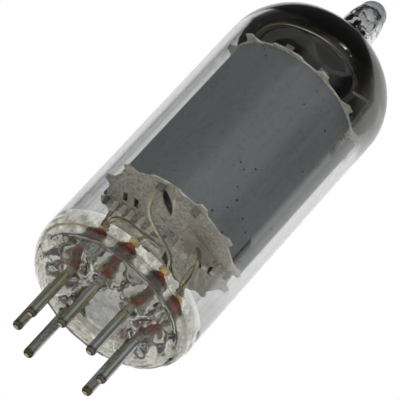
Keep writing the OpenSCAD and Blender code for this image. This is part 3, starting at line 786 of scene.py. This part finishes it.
# the pins: dull nickel with dark streaks, browner at the root and the tip, with a painted highlight on the
# cut face
pinSet = dict(
    nickel=(0.53, 0.58, 0.61), stained=(0.46, 0.44, 0.31), grazing=(0.3, 0.3, 0.26), rough=(0.14, 0.26),
    root=(0.42, 0.39, 0.28), rootSpan=(4.6, 5.8), rootShare=0.6,
    tip=(0.13, 0.10, 0.06), tipSpan=(0.35, 0.7), tipShare=0.85,
    streak=(0.24, 0.23, 0.16), streakCut=(0.5, 0.72), streakShare=0.5,
    face=(0.95, 0.90, 0.80), paintedFaceGlintSpan=(0.01, 0.004), metallic=0.92, paintedFaceGlintDull=0.75,
    along=(2600, 2, 0.5, (1, 1, 0.03)), stain=(500, 3, 0.55, (1, 1, 0.5)), bump=(0.15, 0.02))


def pinMaterial(s):
    f = Finish("pinNickel")
    height = f.part(f.place(), "Z")
    along = f.speckle(*s["along"])
    stain = f.speckle(*s["stain"])
    tip = f.within(height, s["tipSpan"], 1.0, 0.0)
    face = f.within(height, s["paintedFaceGlintSpan"])
    root = f.within(height, s["rootSpan"])
    colour = f.mottled(stain, s["nickel"], s["stained"])
    colour = f.blend(root * s["rootShare"], colour, s["root"])
    colour = f.blend(tip * s["tipShare"], colour, s["tip"])
    colour = f.blend(f.spread(along, *s["streakCut"]) * s["streakShare"], colour, s["streak"])
    # painted highlight: a pale, dull spot on the cut face at the tip stands in for its glint
    colour = f.blend(face, colour, s["face"])
    return f.surface(f.node("BsdfPrincipled", inputs={
        "Base Color": colour, "Metallic": s["metallic"] - face * s["paintedFaceGlintDull"], "Specular Tint": s["grazing"],
        "Roughness": f.varied(along, *s["rough"]), "Normal": f.bumped(along, *s["bump"])}))


# the anode: dull grey sheet, a little paler in clouds, sooty at its foot, with a few dark specks
anodeSet = dict(
    sheet=(0.190, 0.206, 0.212), sheetPale=(0.230, 0.249, 0.254), grain=(0.10, 0.11, 0.117),
    foot=(0.30, 0.28, 0.24), footDark=(0.12, 0.11, 0.09), footSpan=(16.8, 16.4),
    specks=(0.01, 0.01, 0.012), speckScale=900, speckSize=0.11, speckCloud=0.44, rough=(0.55, 0.7),
    metallic=0.2, clouds=(120, 3, 0.5, (1, 1, 0.4)), grains=(2200, 4, 0.6), grainCut=(0.5, 0.75),
    grainShare=0.35, bump=(0.3, 0.02))


def anodeMaterial(s):
    f = Finish("anodeSheet")
    cloud = f.speckle(*s["clouds"])
    grain = f.speckle(*s["grains"])
    colour = f.blend(f.varied(cloud, 0.0, 1.0), s["sheet"], s["sheetPale"])
    colour = f.blend(f.spread(grain, *s["grainCut"]) * s["grainShare"], colour, s["grain"])
    foot = f.within(f.part(f.place(), "Z"), s["footSpan"])
    colour = f.blend(foot, colour, f.mottled(grain, s["foot"], s["footDark"]))
    cells = f.node("TexVoronoi", inputs={"Vector": f.place(), "Scale": s["speckScale"]}, out="Distance")
    colour = f.blend((cells < s["speckSize"]) * (cloud > s["speckCloud"]), colour, s["specks"])
    return f.surface(f.node("BsdfPrincipled", inputs={
        "Base Color": colour, "Metallic": s["metallic"], "Roughness": f.varied(grain, *s["rough"]),
        "Normal": f.bumped(grain, *s["bump"])}))


# the CAD pieces that keep their own shape, told by how their names start or end
startFinishes = {
    "pin": pinMaterial(pinSet), "anode": anodeMaterial(anodeSet), "getter_post": metals["postNickel"],
    "cathode_sleeve": metals["cathodeNickel"], "heater": metals["heaterAlumina"],
    "cathode_strap": metals["strapNickel"], "screen_strap": metals["strapNickel"],
    "collector_plates": metals["strapNickel"]}
endFinishes = {"_rods": metals["gridRodCopper"], "_winding": metals["gridWireMolybdenum"]}


def finishFor(name):
    for end, material in endFinishes.items():
        if name.endswith(end):
            return material
    for start, material in startFinishes.items():
        if name.startswith(start):
            return material


for name, node in nodes.items():
    material = finishFor(name)
    if material:
        for slotOf in node.material_slots:
            slotOf.material = material
print("finishes given to the frame's pieces")

# a plain pale floor, in metres
floorSet = dict(size=2.4, paint=(0.84, 0.84, 0.83), mottled=(0.8, 0.8, 0.79), rough=0.8,
                mottle=(30, 3, 0.5), mottleShare=0.2)


def floorMaterial(s):
    # from below, and for the lamps' shadows, the floor isn't there
    f = Finish("studioFloor")
    mottle = f.speckle(*s["mottle"])
    colour = f.blend(mottle * s["mottleShare"], s["paint"], s["mottled"])
    paint = f.node("BsdfPrincipled", inputs={"Base Color": colour, "Roughness": s["rough"]})
    below = f.node("NewGeometry", out="Backfacing")
    shadow = f.node("LightPath", out="Is Shadow Ray")
    through = f.most(below, shadow)
    clear = f.node("BsdfTransparent")
    return f.surface(f.node("MixShader", inputs={0: through, 1: paint, 2: clear}))


def makeFloor(s):
    deselectAll()
    bpy.ops.mesh.primitive_plane_add(size=s["size"], location=(0, 0, 0))
    floor = bpy.context.object
    floor.name = "studioFloor"
    floor.data.materials.append(floorMaterial(s))


# spans are cosines, where something starts and is full; each box has its direction and its strength
worldSet = dict(soft=0.75, room=0.07, backdropLean=0.14, backdropSpan=(0.87, 0.945), boxes=[
    dict(at=(0.29, -0.80, 0.52), span=(0.86, 0.965), light=0.3),
    dict(at=(0.383, 0.663, 0.643), span=(0.82, 0.87), light=0.95)])


def makeWorld(s):
    # white to look at and through; what is mirrored sees a dim room, two soft boxes and a white backdrop
    world = bpy.data.worlds.new("studio")
    bpy.context.scene.world = world
    f = Finish("studio", world)
    path = f.node("LightPath").socket.node
    toCamera, mirrored, scattered = (
        Wire(f, path.outputs[name]) for name in ("Is Camera Ray", "Glossy Depth", "Diffuse Depth"))
    direction = f.node("TexCoord", out="Generated")
    backdrop = ((viewUp - viewRight) * s["backdropLean"] - viewBack).normalized()
    room = f.spread(f.dot(direction, backdrop), *s["backdropSpan"], s["room"], 1.0)
    for box in s["boxes"]:
        room = room + f.spread(f.dot(direction, box["at"]), *box["span"]) * box["light"]
    strength = f.pick(mirrored > 0.5, 1.0, room)
    strength = f.pick(scattered > 0.5, strength, s["soft"])
    strength = f.pick(toCamera, strength, 1.0)
    f.surface(f.node("Background", inputs={"Color": (1, 1, 1), "Strength": strength}))


# square lamps, all turned to one point; metres, degrees and watts
lampSet = dict(target=(0, 0, 0.026), distance=0.7, lamps=[
    dict(name="leftLamp", turn=-20, rise=-25, size=0.25, power=0.9),
    dict(name="rightLamp", turn=85, rise=-20, size=0.25, power=0.7),
    dict(name="topLamp", turn=30, rise=72, size=0.4, power=1.8)])


def addLamp(s, name, turn, rise, size, power):
    data = bpy.data.lights.new(name, "AREA")
    data.shape = "RECTANGLE"
    data.size = data.size_y = size
    data.energy = power
    lamp = bpy.data.objects.new(name, data)
    lamp.visible_transmission = False
    lamp.visible_glossy = False
    bpy.context.scene.collection.objects.link(lamp)
    away = pointing(turn, rise)
    lamp.location = Vector(s["target"]) + away * s["distance"]
    lamp.rotation_euler = away.to_track_quat("Z", "Y").to_euler()


makeFloor(floorSet)
makeWorld(worldSet)
for lamp in lampSet["lamps"]:
    addLamp(lampSet, **lamp)
bpy.context.scene.view_settings.view_transform = "Standard"
print("floor, world and lamps set")
